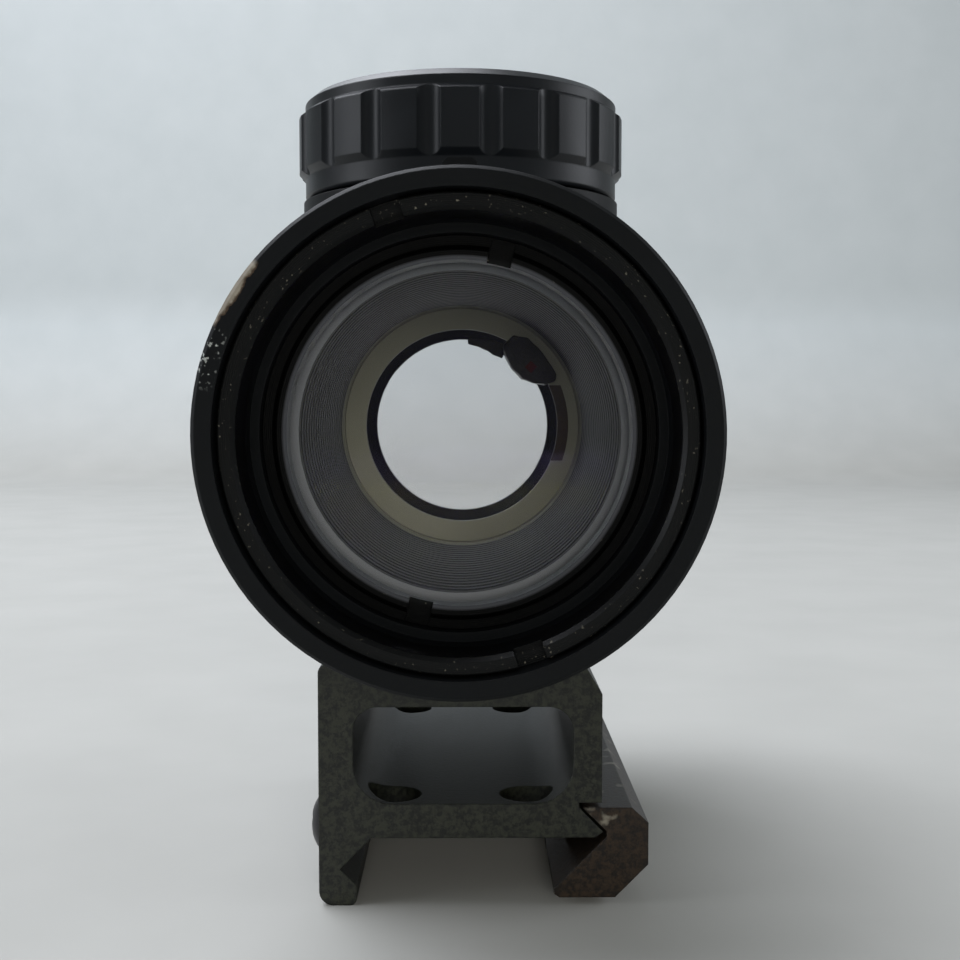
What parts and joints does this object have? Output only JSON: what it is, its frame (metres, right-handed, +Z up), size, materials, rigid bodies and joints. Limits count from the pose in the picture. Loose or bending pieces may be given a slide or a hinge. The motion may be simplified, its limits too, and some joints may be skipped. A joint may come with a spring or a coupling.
{
  "type": "red dot finder",
  "caption": "Tube red dot finder on a see-through riser, with coated objective, fluted brightness dial over a coin cell, capped elevation and windage adjusters and a screw-clamped rail jaw.",
  "frame": {"origin": "rail seat (underside of the riser's deck) below the optical axis, middle of the riser's length", "axes": "+Z up from the rail to the sight tube, +Y from the objective to the eyepiece along the optical axis, +X towards the clamping jaw"},
  "size_m": [0.0419, 0.066, 0.073],
  "materials": {
    "anodised_black": "satin anodised",
    "anodised_dial": "satin anodised",
    "blasted_olive": "bead-blasted, matte",
    "blasted_brown": "bead-blasted, matte",
    "ring_black": "satin anodised",
    "baffle_grey": "matte, grooved",
    "coated_glass": "coated",
    "rubber_black": "matte",
    "spring_steel": "bright",
    "black_steel": "black oxide",
    "cell_steel": "bright nickel plate",
    "board_green": "solder mask",
    "plunger_brass": "turned",
    "emitter_black": "matte",
    "led_red": "clear resin",
    "lead_amber": "film"
  },
  "bodies": {
    "finder": {"housing": "anodised_black", "front_lock_ring": "ring_black", "lens_retainer": "ring_black", "lens_seal": "rubber_black", "objective_lens_front": "coated_glass", "objective_lens_rear": "coated_glass", "lens_spacer": "ring_black", "ocular_lens": "coated_glass", "ocular_seal": "rubber_black", "ocular_retainer": "ring_black", "return_spring": "spring_steel", "dial_seal": "rubber_black", "dial_retaining_ring": "spring_steel", "detent_ball": "spring_steel", "detent_spring": "spring_steel", "circuit_board": "board_green", "battery_contact": "spring_steel", "riser": "blasted_olive", "mount_screws": "black_steel", "bolt_washers": "black_steel"},
    "pivot_ring": {"pivot_ring": "plunger_brass"},
    "inner_tube": {"inner_tube": "baffle_grey", "emitter_block": "emitter_black", "led_die": "led_red", "emitter_lead": "lead_amber"},
    "dial": {"brightness_dial": "anodised_dial"},
    "battery_cap": {"battery_cap": "anodised_dial", "cap_seal": "rubber_black"},
    "battery": {"battery_cell": "cell_steel"},
    "elevation_screw": {"elevation_adjuster": "plunger_brass", "elevation_seal": "rubber_black"},
    "elevation_plunger": {"elevation_plunger": "plunger_brass"},
    "elevation_cap": {"elevation_cap": "anodised_black"},
    "windage_screw": {"windage_adjuster": "plunger_brass", "windage_seal": "rubber_black"},
    "windage_plunger": {"windage_plunger": "plunger_brass"},
    "windage_cap": {"windage_cap": "anodised_black"},
    "jaw": {"rail_jaw": "blasted_brown"},
    "front_bolt": {"front_cross_bolt": "black_steel"},
    "rear_bolt": {"rear_cross_bolt": "black_steel"}
  },
  "joints": [
    {"name": "dial_turn", "type": "hinge", "parent": "finder", "child": "dial", "pos_m": [0, -0.00325, 0.0625], "axis": [0, 0, 1], "range_deg": [0, 330]},
    {"name": "battery_cap_lift", "type": "slide", "parent": "finder", "child": "battery_cap", "axis": [0, 0, 1], "range_m": [0, 0.03]},
    {"name": "battery_lift", "type": "slide", "parent": "finder", "child": "battery", "axis": [0, 0, 1], "range_m": [0, 0.018]},
    {"name": "elevation_turn", "type": "hinge", "parent": "finder", "child": "elevation_screw", "pos_m": [0, 0.021, 0.0545], "axis": [0, 0, 1], "range_deg": [-270, 270]},
    {"name": "elevation_plunger_slide", "type": "slide", "parent": "finder", "child": "elevation_plunger", "axis": [0, 0, -1], "range_m": [-0.000375, 0.000375]},
    {"name": "tube_elevation", "type": "hinge", "parent": "finder", "child": "pivot_ring", "pos_m": [0, -0.01695, 0.0355], "axis": [1, 0, 0], "range_deg": [-0.6, 0.6]},
    {"name": "windage_turn", "type": "hinge", "parent": "finder", "child": "windage_screw", "pos_m": [0.019, 0.021, 0.0355], "axis": [1, 0, 0], "range_deg": [-270, 270]},
    {"name": "windage_plunger_slide", "type": "slide", "parent": "finder", "child": "windage_plunger", "axis": [-1, 0, 0], "range_m": [-0.000375, 0.000375]},
    {"name": "tube_windage", "type": "hinge", "parent": "pivot_ring", "child": "inner_tube", "pos_m": [0, -0.01695, 0.0355], "axis": [0, 0, 1], "range_deg": [-0.6, 0.6]},
    {"name": "elevation_cap_lift", "type": "slide", "parent": "finder", "child": "elevation_cap", "axis": [0, 0, 1], "range_m": [0, 0.012]},
    {"name": "windage_cap_lift", "type": "slide", "parent": "finder", "child": "windage_cap", "axis": [1, 0, 0], "range_m": [0, 0.012]},
    {"name": "front_bolt_turn", "type": "hinge", "parent": "finder", "child": "front_bolt", "pos_m": [0, -0.01, -0.00155], "axis": [-1, 0, 0], "range_deg": [0, 2880]},
    {"name": "rear_bolt_turn", "type": "hinge", "parent": "finder", "child": "rear_bolt", "pos_m": [0, 0.01, -0.00155], "axis": [-1, 0, 0], "range_deg": [0, 2880]},
    {"name": "jaw_slide", "type": "slide", "parent": "finder", "child": "jaw", "axis": [1, 0, 0], "range_m": [0, 0.004]}
  ],
  "couplings": [
    {"joint": "battery_lift", "follows": "battery_cap_lift", "ratio": 0.6},
    {"joint": "elevation_turn", "follows": "elevation_plunger_slide", "rad_per_m": 12566},
    {"joint": "tube_elevation", "follows": "elevation_plunger_slide", "rad_per_m": -26.351},
    {"joint": "windage_turn", "follows": "windage_plunger_slide", "rad_per_m": 12566},
    {"joint": "tube_windage", "follows": "windage_plunger_slide", "rad_per_m": 26.351},
    {"joint": "front_bolt_turn", "follows": "jaw_slide", "rad_per_m": 12566},
    {"joint": "rear_bolt_turn", "follows": "jaw_slide", "rad_per_m": 12566}
  ]
}
